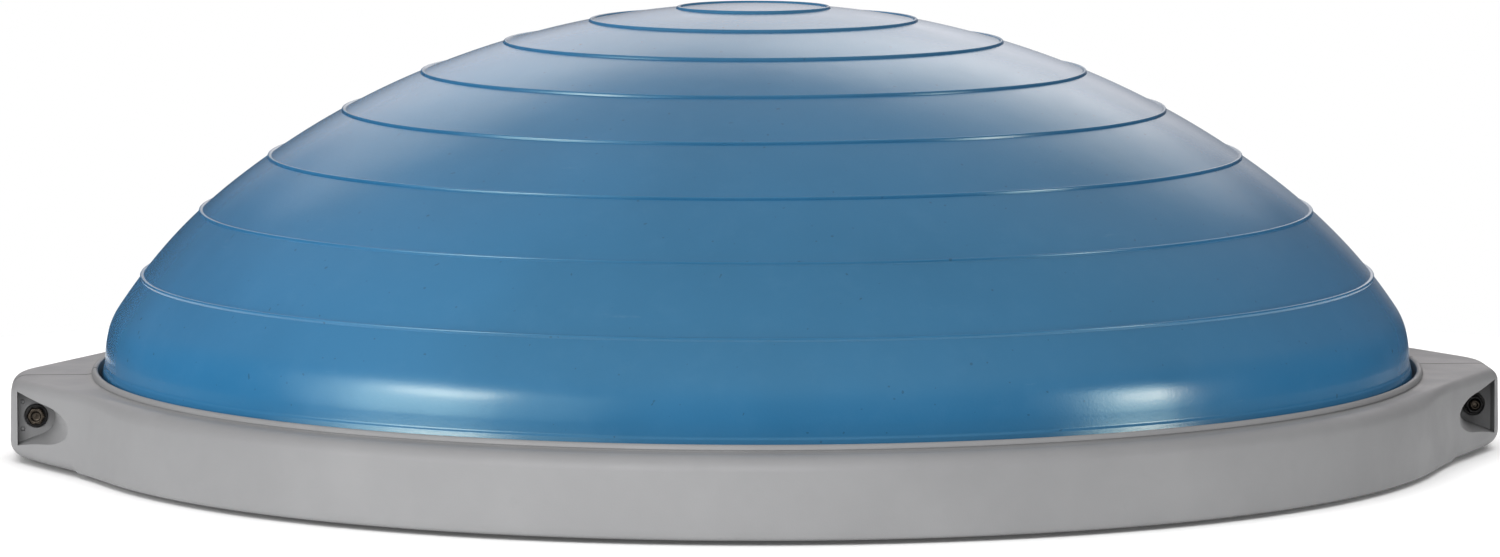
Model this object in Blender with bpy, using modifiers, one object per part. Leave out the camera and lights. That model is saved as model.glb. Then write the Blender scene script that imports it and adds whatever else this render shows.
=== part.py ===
"""Balance dome trainer: an inflated ribbed dome clamped to a rigid round platform by a two-piece rim.

Metres, +Z up, the floor at z = 0. The axis of the dome is the Z axis. The two clamp ears point along -X and +X,
and the rim splits along the plane y = 0.
"""

import math

import bmesh
import bpy
from mathutils import Matrix, Vector

# Driving dimensions
PLATFORM_RADIUS = 0.3245
RIM_TOP = 0.0418
CROWN_HEIGHT = 0.2114
EAR_REACH = 0.3495
STEPS = 48
GAP = 0.0003

# Dome outline: tangent arcs from the crown down, each as radius and the slope where it ends
DOME_ARCS = ((0.3990, 37.9), (0.2505, 56.2), (0.0352, 90.0))
DOME_WALL = 0.0030
RIB_COUNT = 8
RIB_FIRST = 0.0351
RIB_PITCH = 0.0413
RIB_HEIGHT = 0.0016
RIB_HALF_WIDTH = 0.0024

# Rim channel and what it clamps
LIP_RADIUS = 0.3088
BEAD_RADIUS = 0.3134
SHOULDER_RADIUS = 0.3155
EAR_TOP = 0.0388
RIM_BOTTOM = 0.0020
CHANNEL_RADIUS = 0.3192
CHANNEL_TOP = 0.0343
CHANNEL_FLOOR = 0.0060
FLANGE_RADIUS = 0.2990
PLATE_TOP = 0.0163
SEAT_TOP = 0.0223
SEAT_RADIUS = 0.3028

# Clamp ears: straight flanks tangent to a circle, at an angle from the X axis
EAR_FLANK_RADIUS = 0.3190
EAR_FLANK_ANGLE = math.radians(27.2)
EAR_CORNER = 0.0062
EAR_EDGE = 0.0045
POCKET_FLOOR = 0.0140
POCKET_DEPTH = 0.0750
BOLT_X = 0.3375
BOLT_Z = 0.0212
BOLT_RADIUS = 0.0024
HEAD_ACROSS = 0.0080
HEAD_HEIGHT = 0.0035
NUT_HEIGHT = 0.0042
WASHER_RADIUS = 0.0054
WASHER_THICKNESS = 0.0010
COUNTERBORE_DEPTH = 0.0012

# Feet under the platform
FOOT_COUNT = 8
FOOT_CIRCLE = 0.2580
FOOT_RADIUS = 0.0150
FOOT_HEIGHT = 0.0045
FOOT_POCKET = 0.0028
SCREW_HEAD_RADIUS = 0.0042
SCREW_HOLE_RADIUS = 0.0019

# Hand recesses in the underside
RECESS_X = 0.2150
RECESS_LENGTH = 0.1200
RECESS_WIDTH = 0.0320
RECESS_DEPTH = 0.0100

# Air valve in the wall of the dome, at the back, square to the wall where it leans in by this angle
VALVE_LEAN = math.radians(20)
VALVE_HOLE_RADIUS = 0.0062
SEAT_FLANGE_RADIUS = 0.0085
PLUG_RADIUS = 0.0030
PLUG_HEAD_RADIUS = 0.0075
PLUG_LENGTH = 0.0120

BLUE = (0.050, 0.190, 0.420, 1.0)
GREY = (0.400, 0.405, 0.410, 1.0)
DARK_GREY = (0.060, 0.062, 0.066, 1.0)
BLACK = (0.012, 0.012, 0.013, 1.0)
STEEL = (0.420, 0.410, 0.390, 1.0)
WHITE = (0.620, 0.630, 0.620, 1.0)

FINISHES = {
    "dome_blue": (BLUE, 0.32, 0.0),
    "rim_grey": (GREY, 0.55, 0.0),
    "plate_grey": (DARK_GREY, 0.60, 0.0),
    "rubber_black": (BLACK, 0.75, 0.0),
    "bolt_steel": (STEEL, 0.35, 1.0),
    "washer_black": (BLACK, 0.45, 0.6),
    "valve_white": (WHITE, 0.40, 0.0),
}


def clear_scene():
    for thing in list(bpy.data.objects):
        bpy.data.objects.remove(thing, do_unlink=True)
    for group in list(bpy.data.collections):
        bpy.data.collections.remove(group)


def collection(name):
    group = bpy.data.collections.new(name)
    bpy.context.scene.collection.children.link(group)
    return group


def material(name):
    found = bpy.data.materials.get(name)
    if found:
        return found
    colour, roughness, metallic = FINISHES[name]
    made = bpy.data.materials.new(name)
    made.use_nodes = True
    shader = made.node_tree.nodes["Principled BSDF"]
    shader.inputs["Base Color"].default_value = colour
    shader.inputs["Roughness"].default_value = roughness
    shader.inputs["Metallic"].default_value = metallic
    return made


def place(name, mesh, group, finish=None):
    """Puts a mesh in the scene as one object, in its collection and with its material."""
    item = bpy.data.objects.new(name, mesh)
    group.objects.link(item)
    if finish:
        mesh.materials.clear()
        mesh.materials.append(material(finish))
        mesh.shade_smooth()
        mesh.set_sharp_from_angle(angle=math.radians(32))
    return item


def from_bmesh(name, builder):
    mesh = bpy.data.meshes.new(name)
    shape = bmesh.new()
    builder(shape)
    bmesh.ops.recalc_face_normals(shape, faces=shape.faces)
    shape.to_mesh(mesh)
    shape.free()
    return mesh


def turned(name, outlines, group, finish=None, steps=STEPS):
    """A turned shape. Each outline is a list of (radius, z) and whether it closes on itself."""
    points = []
    edges = []
    for outline, closed in outlines:
        first = len(points)
        points += [(radius, 0.0, z) for radius, z in outline]
        edges += [(first + i, first + i + 1) for i in range(len(outline) - 1)]
        if closed:
            edges.append((len(points) - 1, first))
    mesh = bpy.data.meshes.new(name)
    mesh.from_pydata(points, edges, [])
    item = place(name, mesh, group, finish)
    screw = item.modifiers.new("turn", "SCREW")
    screw.axis = "Z"
    screw.steps = steps
    screw.render_steps = steps
    screw.use_merge_vertices = True
    screw.merge_threshold = 0.00005
    screw.use_smooth_shade = True
    return item


def frozen(item):
    """Replaces an object's mesh by its evaluated one and drops its modifiers."""
    bpy.context.view_layer.update()
    evaluated = item.evaluated_get(bpy.context.evaluated_depsgraph_get())
    mesh = bpy.data.meshes.new_from_object(evaluated)
    old = item.data
    item.modifiers.clear()
    item.data = mesh
    mesh.name = item.name
    bpy.data.meshes.remove(old)
    mesh.shade_smooth()
    mesh.set_sharp_from_angle(angle=math.radians(32))
    return item


def boolean(item, other, operation):
    step = item.modifiers.new(operation.lower(), "BOOLEAN")
    step.operation = operation
    step.solver = "EXACT"
    step.object = other
    return item


def tool(item):
    """Marks an object as a cutter or a blank that isn't part of the trainer."""
    item.hide_render = True
    item.display_type = "WIRE"
    return item


def cylinder(shape, radius, depth, centre, axis, segments=24, top_radius=None):
    """Adds a closed cylinder or cone along axis, its middle at centre."""
    turn = Vector((0, 0, 1)).rotation_difference(Vector(axis)).to_matrix().to_4x4()
    bmesh.ops.create_cone(
        shape,
        cap_ends=True,
        segments=segments,
        radius1=radius,
        radius2=radius if top_radius is None else top_radius,
        depth=depth,
        matrix=Matrix.Translation(centre) @ turn,
    )


def rod(name, radius, depth, centre, axis, group, finish=None, segments=24):
    mesh = from_bmesh(name, lambda shape: cylinder(shape, radius, depth, centre, axis, segments))
    return place(name, mesh, group, finish)


def arc(centre, radius, start, end, count):
    """Points on an arc in (radius, z), angles in degrees from +r towards +z."""
    cx, cz = centre
    angles = [math.radians(start + (end - start) * i / count) for i in range(count + 1)]
    return [(cx + radius * math.cos(a), cz + radius * math.sin(a)) for a in angles]


def dome_point(distance, proud):
    """Radius and height at a distance along the dome's outline, moved outwards by proud."""
    slope = 0.0
    radius, height = 0.0, CROWN_HEIGHT
    for bend, end_slope in DOME_ARCS:
        end = math.radians(end_slope)
        reach = bend * (end - slope)
        here = slope + min(distance, reach) / bend
        radius += bend * (math.sin(here) - math.sin(slope))
        height += bend * (math.cos(here) - math.cos(slope))
        distance -= min(distance, reach)
        slope = here
        if distance <= 0:
            break
    return radius + proud * math.sin(slope), height + proud * math.cos(slope)


def dome_reach():
    slope = 0.0
    total = 0.0
    for bend, end_slope in DOME_ARCS:
        total += bend * (math.radians(end_slope) - slope)
        slope = math.radians(end_slope)
    return total


def dome_outline():
    """The outer outline with its raised ribs, from the crown down to the widest point."""
    line = [dome_point(0.0, 0.0), dome_point(RIB_FIRST / 2, 0.0)]
    for i in range(RIB_COUNT):
        tip = RIB_FIRST + i * RIB_PITCH
        line.append(dome_point(tip - RIB_HALF_WIDTH, 0.0))
        line.append(dome_point(tip, RIB_HEIGHT))
        line.append(dome_point(tip + RIB_HALF_WIDTH, 0.0))
    last = RIB_FIRST + (RIB_COUNT - 1) * RIB_PITCH + RIB_HALF_WIDTH
    rest = dome_reach() - last
    line += [dome_point(last + rest * share, 0.0) for share in (0.3, 0.5, 0.65, 0.8, 1.0)]
    return line


def dome_cavity():
    """The air space: the dome's outline moved in by the wall, listed from the floor up to the crown."""
    reach = dome_reach()
    stations = [reach * share for share in (0.0, 0.12, 0.27, 0.42, 0.57, 0.72, 0.84, 0.93, 1.0)]
    upper = [dome_point(station, -DOME_WALL) for station in stations]
    floor = PLATE_TOP + GAP + DOME_WALL
    wall = upper[-1][0]
    lower = [(0.0, floor), (wall - 0.004, floor), (wall, floor + 0.004)]
    return lower + upper[::-1]


def valve_place():
    """Frame of the valve: its origin on the dome's skin, its Z axis pointing out of the wall."""
    radius, height = dome_point(dome_reach() - DOME_ARCS[-1][0] * VALVE_LEAN, 0.0)
    turn = Matrix.Rotation(VALVE_LEAN - math.pi / 2, 4, "X")
    return Matrix.Translation((0.0, radius, height)) @ turn


def make_dome(parts, tools):
    outline = dome_outline()
    wall = outline[-1][0]
    bead = CHANNEL_RADIUS - 0.0004
    bead_top = CHANNEL_TOP - GAP
    bead_bottom = SEAT_TOP + GAP
    inner = SEAT_RADIUS - GAP
    bottom = PLATE_TOP + GAP
    foot = [
        (wall, bead_top + 0.0020),
        (wall + 0.0020, bead_top),
        (bead - 0.0010, bead_top),
        (bead, bead_top - 0.0010),
        (bead, bead_bottom + 0.0010),
        (bead - 0.0010, bead_bottom),
        (inner, bead_bottom),
        (inner, bottom + 0.0012),
        (inner - 0.0012, bottom),
        (0.0, bottom),
    ]
    outer = (outline + foot, False)
    cavity = (dome_cavity(), False)
    dome = turned("dome_bladder", [outer, cavity], parts, "dome_blue")
    hole = rod("valve_hole_cutter", VALVE_HOLE_RADIUS, 0.03, (0, 0, 0), (0, 0, 1), tools)
    hole.matrix_world = valve_place()
    boolean(dome, tool(hole), "DIFFERENCE")
    return dome


def foot_places():
    turns = [2 * math.pi * (i + 0.5) / FOOT_COUNT for i in range(FOOT_COUNT)]
    return [(FOOT_CIRCLE * math.cos(a), FOOT_CIRCLE * math.sin(a)) for a in turns]


def rounded_slot(shape, centre, length, width, depth):
    """Adds a closed bar with half-round ends, its length along Y."""
    cx, cy, cz = centre
    radius = width / 2
    side = length / 2 - radius
    count = 8
    ring = []
    for sign in (1, -1):
        for i in range(count + 1):
            angle = math.pi * i / count + (0 if sign > 0 else math.pi)
            ring.append((cx + radius * math.cos(angle), cy + sign * side + radius * math.sin(angle)))
    low = [shape.verts.new((x, y, cz - depth / 2)) for x, y in ring]
    face = shape.faces.new(low)
    lifted = bmesh.ops.extrude_face_region(shape, geom=[face])
    moved = [part for part in lifted["geom"] if isinstance(part, bmesh.types.BMVert)]
    bmesh.ops.translate(shape, verts=moved, vec=(0, 0, depth))


def make_plate(parts, tools):
    edge = CHANNEL_RADIUS - 0.0004
    step = CHANNEL_FLOOR + GAP
    outline = [
        (0.0, PLATE_TOP),
        (SEAT_RADIUS, PLATE_TOP),
        (SEAT_RADIUS, SEAT_TOP - 0.0008),
        (SEAT_RADIUS + 0.0008, SEAT_TOP),
        (edge - 0.0008, SEAT_TOP),
        (edge, SEAT_TOP - 0.0008),
        (edge, step + 0.0008),
        (edge - 0.0008, step),
        (FLANGE_RADIUS - 0.0006, step),
        (FLANGE_RADIUS - 0.0006, RIM_BOTTOM + 0.0010),
        (FLANGE_RADIUS - 0.0016, RIM_BOTTOM),
        (0.0, RIM_BOTTOM),
    ]
    plate = turned("base_plate", [(outline, False)], parts, "plate_grey")
    recesses = from_bmesh(
        "hand_recess_cutter",
        lambda shape: [
            rounded_slot(
                shape,
                (side * RECESS_X, 0.0, RIM_BOTTOM + RECESS_DEPTH / 2 - 0.005),
                RECESS_LENGTH,
                RECESS_WIDTH,
                RECESS_DEPTH + 0.010,
            )
            for side in (-1, 1)
        ],
    )

    def foot_pockets(shape):
        for x, y in foot_places():
            deep = RIM_BOTTOM + FOOT_POCKET
            cylinder(shape, FOOT_RADIUS + GAP, 0.02, (x, y, deep - 0.01), (0, 0, 1), 16)

    def screw_holes(shape):
        for x, y in foot_places():
            cylinder(shape, SCREW_HOLE_RADIUS, 0.012, (x, y, RIM_BOTTOM + 0.006), (0, 0, 1), 10)

    for mesh in (
        recesses,
        from_bmesh("foot_pocket_cutter", foot_pockets),
        from_bmesh("screw_hole_cutter", screw_holes),
    ):
        boolean(plate, tool(place(mesh.name, mesh, tools)), "DIFFERENCE")
    return plate


def rim_outline():
    """Cross-section of the rim: bead lip, shoulder, outer wall and the flange that turns in below."""
    bead_middle = (LIP_RADIUS + BEAD_RADIUS) / 2
    bead_round = (BEAD_RADIUS - LIP_RADIUS) / 2
    bead_base = RIM_TOP - bead_round
    wall_top = 0.0310
    shoulder = arc((SHOULDER_RADIUS + 0.0005, wall_top - 0.0005), EAR_TOP - wall_top, 88, 10, 5)
    return [
        (LIP_RADIUS, bead_base),
        *arc((bead_middle, bead_base), bead_round, 150, 30, 4),
        (BEAD_RADIUS, bead_base),
        (BEAD_RADIUS + 0.0004, EAR_TOP + 0.0004),
        *shoulder,
        (PLATFORM_RADIUS, 0.0120),
        (PLATFORM_RADIUS - 0.0002, 0.0060),
        (PLATFORM_RADIUS - 0.0012, 0.0032),
        (PLATFORM_RADIUS - 0.0032, RIM_BOTTOM),
        (FLANGE_RADIUS, RIM_BOTTOM),
        (FLANGE_RADIUS, CHANNEL_FLOOR),
        (CHANNEL_RADIUS, CHANNEL_FLOOR),
        (CHANNEL_RADIUS, CHANNEL_TOP),
        (LIP_RADIUS, CHANNEL_TOP),
    ]


def ear_plan(x):
    """Half-width of an ear at a distance x from the axis, on its straight flank."""
    return (EAR_FLANK_RADIUS - x * math.cos(EAR_FLANK_ANGLE)) / math.sin(EAR_FLANK_ANGLE)


def ear_blank(side, tools):
    """A wedge with straight flanks, its outer end rounded above and below."""
    tip = ear_plan(EAR_REACH)
    near = EAR_FLANK_RADIUS * math.cos(EAR_FLANK_ANGLE)
    wide = ear_plan(near)
    plan = [(EAR_REACH, tip), (near, wide), (near - 0.05, wide), (near - 0.05, -wide), (near, -wide)]
    plan.append((EAR_REACH, -tip))

    def wedge(shape):
        verts = [shape.verts.new((side * x, y, RIM_BOTTOM + 0.0006)) for x, y in plan]
        face = shape.faces.new(verts)
        lifted = bmesh.ops.extrude_face_region(shape, geom=[face])
        moved = [part for part in lifted["geom"] if isinstance(part, bmesh.types.BMVert)]
        bmesh.ops.translate(shape, verts=moved, vec=(0, 0, EAR_TOP - RIM_BOTTOM - 0.0006))
        level = [edge for edge in shape.edges if abs(edge.verts[0].co.z - edge.verts[1].co.z) < 1e-6]
        outer = [edge for edge in level if all(abs(v.co.x) > EAR_REACH - 1e-6 for v in edge.verts)]
        bmesh.ops.bevel(shape, geom=outer, offset=EAR_CORNER, segments=5, profile=0.5, affect="EDGES")
        flanks = [
            edge
            for edge in shape.edges
            if abs(edge.verts[0].co.z - edge.verts[1].co.z) < 1e-6
            and edge.verts[0].co.z > EAR_TOP - 1e-6
            and edge.verts[0].co.y * edge.verts[1].co.y > 0
            and min(abs(v.co.x) for v in edge.verts) > near - 1e-4
        ]
        bmesh.ops.bevel(shape, geom=flanks, offset=EAR_EDGE, segments=3, profile=0.5, affect="EDGES")

    return tool(place("ear_blank", from_bmesh("ear_blank", wedge), tools))


def pocket_ring(shape, y, centre_x, radius, side):
    """One D-shaped section of a pocket: an arc around the bolt side, spreading towards the ear's end."""
    outer_x = EAR_REACH - 0.0022
    spread = 0.0115
    count = 8
    ring = [(outer_x, BOLT_Z + spread)]
    for i in range(count + 1):
        angle = math.radians(80 - 160 * i / count)
        ring.append((centre_x - radius * math.cos(angle), BOLT_Z + radius * math.sin(angle)))
    ring.append((outer_x, BOLT_Z - spread))
    return [shape.verts.new((side * x, y, z)) for x, z in ring]


def pocket(shape, side, face):
    """Adds a pocket cutter for one ear, on the front (face -1) or the back (face +1)."""
    floor = pocket_ring(shape, face * POCKET_FLOOR, BOLT_X, 0.0088, side)
    mouth = pocket_ring(shape, face * (POCKET_FLOOR + POCKET_DEPTH), BOLT_X - 0.0095, 0.0094, side)
    count = len(floor)
    shape.faces.new(floor)
    shape.faces.new(mouth[::-1])
    for i in range(count):
        j = (i + 1) % count
        shape.faces.new((floor[i], floor[j], mouth[j], mouth[i]))


def ear_cutters(tools):
    def pockets(shape):
        for side in (-1, 1):
            for face in (-1, 1):
                pocket(shape, side, face)

    def bores(shape):
        for side in (-1, 1):
            where = Vector((side * BOLT_X, 0.0, BOLT_Z))
            cylinder(shape, BOLT_RADIUS + GAP, 2 * POCKET_FLOOR + 0.01, where, (0, 1, 0), 16)

    def counterbores(shape):
        deep = POCKET_FLOOR - COUNTERBORE_DEPTH
        for side in (-1, 1):
            for face in (-1, 1):
                where = Vector((side * BOLT_X, face * (deep + 0.002), BOLT_Z))
                cylinder(shape, WASHER_RADIUS + GAP, 0.004, where, (0, 1, 0), 16)

    builders = {
        "ear_pocket_cutter": pockets,
        "bolt_bore_cutter": bores,
        "washer_seat_cutter": counterbores,
    }
    return [tool(place(name, from_bmesh(name, work), tools)) for name, work in builders.items()]


def make_rims(parts, tools):
    """The two rim halves: one clamping ring with two ears, split along y = 0."""
    ring = turned("rim_ring_blank", [(rim_outline(), True)], tools, "rim_grey")
    core = turned(
        "channel_core_cutter",
        [
            (
                [
                    (0.0, 0.06),
                    (SHOULDER_RADIUS + 0.0010, 0.06),
                    (SHOULDER_RADIUS + 0.0010, CHANNEL_TOP + 0.0010),
                    (CHANNEL_RADIUS + 0.0025, CHANNEL_TOP + 0.0010),
                    (CHANNEL_RADIUS + 0.0025, -0.01),
                    (0.0, -0.01),
                ],
                False,
            )
        ],
        tools,
    )
    tool(core)
    tool(ring)
    frozen(ring)
    for side in (-1, 1):
        ear = boolean(ear_blank(side, tools), core, "DIFFERENCE")
        boolean(ring, frozen(ear), "UNION")
        frozen(ring)
    for cutter in ear_cutters(tools):
        boolean(ring, cutter, "DIFFERENCE")
    frozen(ring)
    halves = []
    for name, sign in (("front_rim_half", -1), ("rear_rim_half", 1)):
        block = from_bmesh(
            name + "_block",
            lambda shape: bmesh.ops.create_cube(
                shape,
                size=1.0,
                matrix=Matrix.Translation((0, sign * (0.5 + GAP / 2), 0)),
            ),
        )
        keep = tool(place(block.name, block, tools))
        half = place(name, ring.data.copy(), parts, "rim_grey")
        boolean(half, keep, "INTERSECT")
        halves.append(half)
    return halves


def hexagon(shape, across, height, centre, axis):
    """Adds a hexagonal bar along axis, its size measured across the flats."""
    corner = across / 2 / math.cos(math.radians(30))
    cylinder(shape, corner, height, centre, axis, 6)


def ring_mesh(name, outer, inner, depth, centre, direction, segments=16):
    """A flat ring with square edges, turned round the given direction."""

    def build(shape):
        turn = Vector((0, 0, 1)).rotation_difference(Vector(direction)).to_matrix().to_4x4()
        shift = Matrix.Translation(centre) @ turn
        loops = []
        for radius, height in ((outer, -1), (outer, 1), (inner, 1), (inner, -1)):
            loop = []
            for i in range(segments):
                angle = 2 * math.pi * i / segments
                spot = Vector((radius * math.cos(angle), radius * math.sin(angle), height * depth / 2))
                loop.append(shape.verts.new(shift @ spot))
            loops.append(loop)
        for k in range(4):
            here, there = loops[k], loops[(k + 1) % 4]
            for i in range(segments):
                j = (i + 1) % segments
                shape.faces.new((here[i], here[j], there[j], there[i]))

    return from_bmesh(name, build)


def make_clamp(label, side, parts, tools):
    """Bolt, nut and two washers of one ear. The left head faces the front, the right head the back."""
    face = -1 if side < 0 else 1
    where = Vector((side * BOLT_X, 0.0, BOLT_Z))
    outwards = Vector((0.0, face, 0.0))
    seat = POCKET_FLOOR - COUNTERBORE_DEPTH
    washer_middle = seat + GAP + WASHER_THICKNESS / 2
    for end, sign in (("head", 1), ("nut", -1)):
        name = f"{label}_{end}_washer"
        mesh = ring_mesh(
            name,
            WASHER_RADIUS,
            BOLT_RADIUS + GAP,
            WASHER_THICKNESS,
            where + outwards * sign * washer_middle,
            outwards,
        )
        place(name, mesh, parts, "washer_black")
    bearing = seat + GAP + WASHER_THICKNESS + GAP
    tail = bearing + NUT_HEIGHT + 0.0016

    def bolt(shape):
        cylinder(shape, BOLT_RADIUS, bearing + tail, where + outwards * (bearing - tail) / 2, outwards, 16)

    name = f"{label}_clamp_bolt"
    shank = place(name, from_bmesh(name, bolt), parts, "bolt_steel")
    head_mesh = from_bmesh(
        name + "_head",
        lambda shape: hexagon(
            shape,
            HEAD_ACROSS,
            HEAD_HEIGHT,
            where + outwards * (bearing + HEAD_HEIGHT / 2 - 0.00001),
            outwards,
        ),
    )
    head = tool(place(name + "_head", head_mesh, tools))
    boolean(shank, head, "UNION")
    nut_name = f"{label}_clamp_nut"
    middle = where - outwards * (bearing + NUT_HEIGHT / 2)
    nut = place(
        nut_name,
        from_bmesh(nut_name, lambda shape: hexagon(shape, HEAD_ACROSS, NUT_HEIGHT, middle, outwards)),
        parts,
        "washer_black",
    )
    bore = rod(nut_name + "_bore", BOLT_RADIUS + GAP, 0.02, middle, outwards, tools, None, 16)
    boolean(nut, tool(bore), "DIFFERENCE")


def make_feet(parts):
    """Rubber feet pressed into the plate's pockets, each held by a pan-head screw."""
    top = RIM_BOTTOM + FOOT_POCKET - GAP
    low = 0.0
    well = 0.0026
    for number, (x, y) in enumerate(foot_places(), 1):
        outline = [
            (SCREW_HOLE_RADIUS + GAP, top),
            (FOOT_RADIUS, top),
            (FOOT_RADIUS, low + 0.0010),
            (FOOT_RADIUS - 0.0010, low),
            (SCREW_HEAD_RADIUS + 0.0008, low),
            (SCREW_HEAD_RADIUS + 0.0004, well),
            (SCREW_HOLE_RADIUS + GAP, well),
        ]
        foot = turned(f"foot_{number}", [(outline, True)], parts, "rubber_black", 16)
        foot.location = (x, y, 0.0)
        head = [
            (0.0, 0.0125),
            (SCREW_HOLE_RADIUS - GAP, 0.0115),
            (SCREW_HOLE_RADIUS - GAP, well - GAP),
            (SCREW_HEAD_RADIUS, well - GAP),
            (SCREW_HEAD_RADIUS - 0.0004, 0.0012),
            (SCREW_HEAD_RADIUS - 0.0016, 0.0006),
            (0.0, 0.0006),
        ]
        screw = turned(f"foot_screw_{number}", [(head, False)], parts, "bolt_steel", 10)
        screw.location = (x, y, 0.0)


def make_valve(parts):
    """The valve: a flanged seat set in the dome's wall and the plug that pulls out of it, backwards."""
    seat_outline = [
        (PLUG_RADIUS + GAP, 0.0016),
        (SEAT_FLANGE_RADIUS - 0.0006, 0.0016),
        (SEAT_FLANGE_RADIUS, 0.0010),
        (SEAT_FLANGE_RADIUS, 0.0004),
        (VALVE_HOLE_RADIUS - GAP, 0.0004),
        (VALVE_HOLE_RADIUS - GAP, -0.0080),
        (PLUG_RADIUS + GAP, -0.0080),
    ]
    seat = turned("valve_seat", [(seat_outline, True)], parts, "valve_white", 16)
    plug_outline = [
        (0.0, 0.0048),
        (0.0030, 0.0047),
        (PLUG_HEAD_RADIUS - 0.0010, 0.0038),
        (PLUG_HEAD_RADIUS, 0.0028),
        (PLUG_HEAD_RADIUS, 0.0019),
        (PLUG_RADIUS, 0.0019),
        (PLUG_RADIUS, 0.0019 - PLUG_LENGTH + 0.0020),
        (PLUG_RADIUS - 0.0012, 0.0019 - PLUG_LENGTH),
        (0.0, 0.0019 - PLUG_LENGTH),
    ]
    plug = turned("valve_plug", [(plug_outline, False)], parts, "valve_white", 16)
    for item in (seat, plug):
        item.matrix_world = valve_place()


def main():
    clear_scene()
    parts = collection("balance_dome_trainer")
    tools = collection("cutters")
    make_plate(parts, tools)
    make_rims(parts, tools)
    make_dome(parts, tools)
    make_clamp("left", -1, parts, tools)
    make_clamp("right", 1, parts, tools)
    make_feet(parts)
    make_valve(parts)


main()
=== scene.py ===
"""Looks of the balance dome trainer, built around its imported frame. Metres, +Z up, front towards -Y."""

import math

import bmesh
import bpy
from mathutils import Matrix, Vector


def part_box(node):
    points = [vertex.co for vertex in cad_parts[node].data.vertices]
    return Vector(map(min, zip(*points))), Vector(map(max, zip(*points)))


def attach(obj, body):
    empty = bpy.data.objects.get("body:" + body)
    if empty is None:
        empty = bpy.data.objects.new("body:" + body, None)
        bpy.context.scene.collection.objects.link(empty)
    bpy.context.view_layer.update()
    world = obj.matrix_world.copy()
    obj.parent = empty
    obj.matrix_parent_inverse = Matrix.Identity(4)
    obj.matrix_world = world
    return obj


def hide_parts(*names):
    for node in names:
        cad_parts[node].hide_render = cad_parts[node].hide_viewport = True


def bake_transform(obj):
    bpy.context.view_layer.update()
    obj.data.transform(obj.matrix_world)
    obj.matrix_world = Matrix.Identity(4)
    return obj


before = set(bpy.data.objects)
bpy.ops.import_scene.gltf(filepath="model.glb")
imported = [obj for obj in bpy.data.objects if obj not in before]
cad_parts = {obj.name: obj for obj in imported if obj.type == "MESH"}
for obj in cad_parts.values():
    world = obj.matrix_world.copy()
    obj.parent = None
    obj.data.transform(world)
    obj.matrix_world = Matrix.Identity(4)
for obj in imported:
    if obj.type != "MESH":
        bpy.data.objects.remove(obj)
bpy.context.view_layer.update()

# Camera: a long lens, a little above the rim and a little to the left
CAMERA_PLACE = (-0.2545, -3.5910, 0.4580)
CAMERA_PITCH = math.radians(5.971)
CAMERA_YAW = math.radians(4.0)
CAMERA_LENS = 185.0

# Dome outline, from the frame's box and the tangent arcs it is made of: radius and slope where each ends
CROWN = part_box("dome_bladder")[1].z
DOME_ARCS = ((0.3990, 37.9), (0.2505, 56.2), (0.0325, 78.0), (0.0600, 86.0))
RIB_COUNT = 8
RIB_FIRST = 0.0351
RIB_PITCH = 0.0413
RIB_HEIGHT = 0.0011
RIB_ABOVE = 0.0010
RIB_BELOW = 0.0012
DOME_WALL = 0.0030
DOME_STEPS = 288
DOME_FOOT_RADIUS = 0.3025
MOULD_LINE_Z = 0.0438
# How an inflated skin departs from its turned shape: size of the waves, lean to the left, sag of the crown
SKIN_WAVES = 0.0005
DOME_LEAN = 0.0018
DOME_SAG = 0.0012
VALVE_LEAN = math.radians(20)
VALVE_RADIUS = 0.30325
VALVE_Z = 0.0613
VALVE_HOLE_RADIUS = 0.0059

# Rim section
RING_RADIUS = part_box("front_rim_half")[0].y * -1
EAR_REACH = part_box("front_rim_half")[1].x
RIM_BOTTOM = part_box("front_rim_half")[0].z
EAR_TOP = 0.0388
LIP_RADIUS = 0.3088
CHANNEL_RADIUS = 0.3192
CHANNEL_TOP = 0.0343
CHANNEL_FLOOR = 0.0060
FLANGE_RADIUS = 0.2990
WALL_DRAFT = 0.0013
FLANK_RADIUS = 0.3190
FLANK_ANGLE = math.radians(27.2)
TOP_EDGE_RADIUS = 0.3147
BEAD_END_RADIUS = 0.3144

# Spanner pockets in the ears
BOLT_X = 0.3375
BOLT_Z = 0.0212
POCKET_FLOOR = 0.0140
POCKET_DEPTH = 0.0660
POCKET_SECTIONS = 12
BORE_RADIUS = 0.0027
WASHER_SEAT = 0.0128
WASHER_SEAT_RADIUS = 0.0057
PIP_HEIGHTS = (0.0067, -0.0060)
PIP_OUTWARDS = 0.0062

# Bolts and nuts
ACROSS_FLATS = 0.0080
BOLT_RADIUS = 0.0024
HEAD_HEIGHT = 0.0035
THREAD_PITCH = 0.0008
THREAD_DEPTH = 0.0003
THREAD_START = -0.0146
THREAD_TURNS = 7

# Platform and feet
SEAT_RADIUS = 0.3028
PLATE_TOP = 0.0163
RECESS_X = 0.2150
RECESS_LENGTH = 0.1200
RECESS_WIDTH = 0.0320
FOOT_COUNT = 8
FOOT_CIRCLE = 0.2580
FOOT_POCKET_RADIUS = 0.0153
FOOT_POCKET_TOP = 0.0048
FOOT_TURN = 1.1
SCREW_HOLE_RADIUS = 0.0019


def clamp(value, low, high):
    return max(low, min(high, value))


def mix(a, b, share):
    return a + (b - a) * share


def smoothstep(value):
    value = clamp(value, 0.0, 1.0)
    return value * value * (3 - 2 * value)


def smooth_max(a, b, width):
    near = max(width - abs(a - b), 0.0) / width
    return max(a, b) + near * near * width / 4


def smooth_min(a, b, width):
    return -smooth_max(-a, -b, width)


# ---------------------------------------------------------------- meshes


def new_object(name, verts, faces):
    mesh = bpy.data.meshes.new(name)
    mesh.from_pydata([tuple(v) for v in verts], [], faces)
    mesh.update()
    item = bpy.data.objects.new(name, mesh)
    bpy.context.scene.collection.objects.link(item)
    return item


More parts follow.
